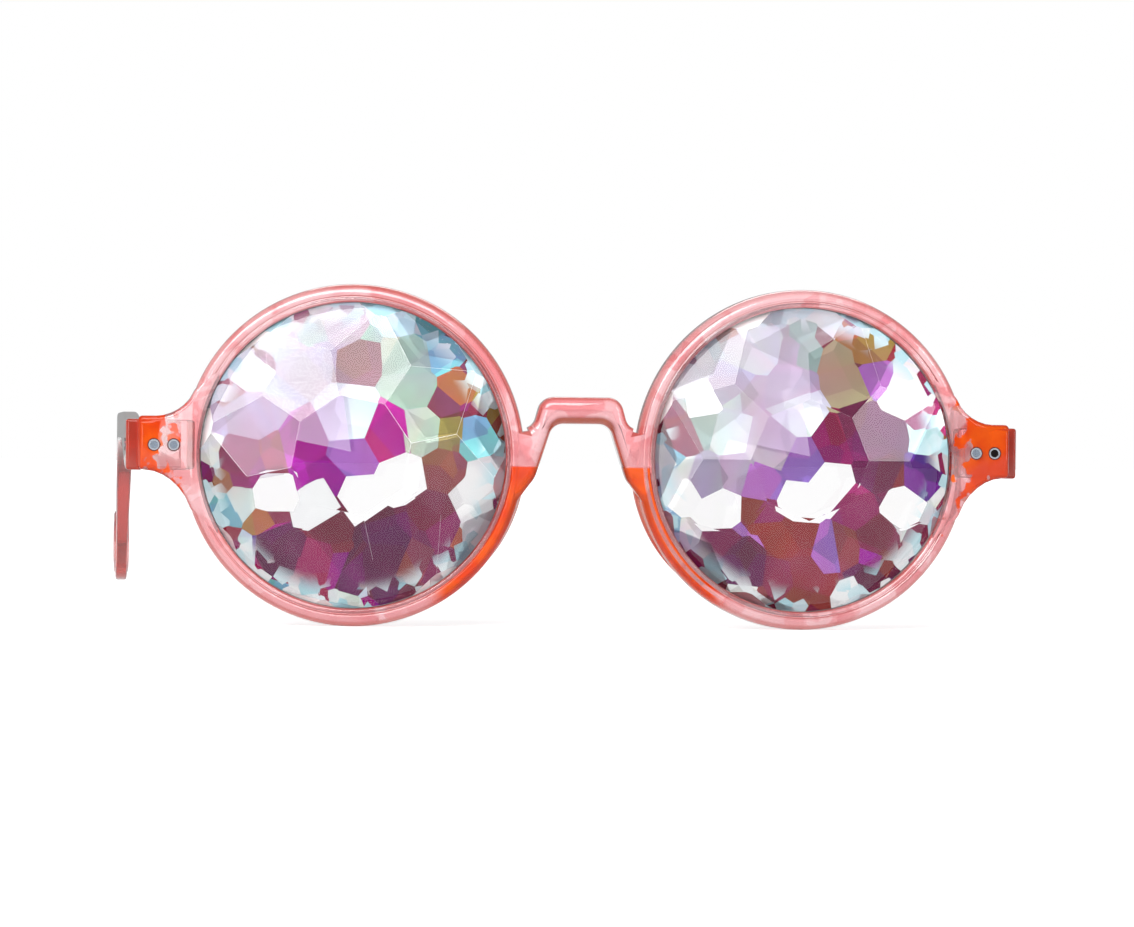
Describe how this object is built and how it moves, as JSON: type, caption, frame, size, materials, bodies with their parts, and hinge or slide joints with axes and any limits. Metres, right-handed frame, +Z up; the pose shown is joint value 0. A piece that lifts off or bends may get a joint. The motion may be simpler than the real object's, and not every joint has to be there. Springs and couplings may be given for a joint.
{
  "type": "party glasses",
  "caption": "Round party glasses: moulded translucent coral front, thick faceted iridescent crystal lenses, and folding temples whose broad tips end in loops.",
  "frame": {"origin": "under the middle of the open glasses, level with the rims' lowest points", "axes": "+X to the wearer's left, which is the right of the front view, +Y from the lenses back to the temple tips, +Z up"},
  "size_m": [0.1482, 0.1572, 0.056],
  "materials": {
    "coral_plastic": "translucent gloss",
    "crystal": "faceted, iridescent coated",
    "hinge_metal": "plain"
  },
  "bodies": {
    "front": {"front_frame": "coral_plastic", "left_lens": "crystal", "right_lens": "crystal", "left_hinge_front_leaf": "hinge_metal", "right_hinge_front_leaf": "hinge_metal", "left_hinge_screw": "hinge_metal", "right_hinge_screw": "hinge_metal", "left_front_rivet_inner": "hinge_metal", "left_front_rivet_outer": "hinge_metal", "right_front_rivet_inner": "hinge_metal", "right_front_rivet_outer": "hinge_metal"},
    "left_arm": {"left_temple": "coral_plastic", "left_hinge_temple_leaf": "hinge_metal", "left_temple_rivet_front": "hinge_metal", "left_temple_rivet_rear": "hinge_metal"},
    "right_arm": {"right_temple": "coral_plastic", "right_hinge_temple_leaf": "hinge_metal", "right_temple_rivet_front": "hinge_metal", "right_temple_rivet_rear": "hinge_metal"}
  },
  "joints": [
    {"name": "left_temple_fold", "type": "hinge", "parent": "front", "child": "left_arm", "pos_m": [-0.0712, -0.0628, 0.0294], "axis": [0, 0, -1], "range_deg": [0, 91.4]},
    {"name": "right_temple_fold", "type": "hinge", "parent": "front", "child": "right_arm", "pos_m": [0.0712, -0.0628, 0.0294], "axis": [0, 0, 1], "range_deg": [0, 88.6]}
  ]
}
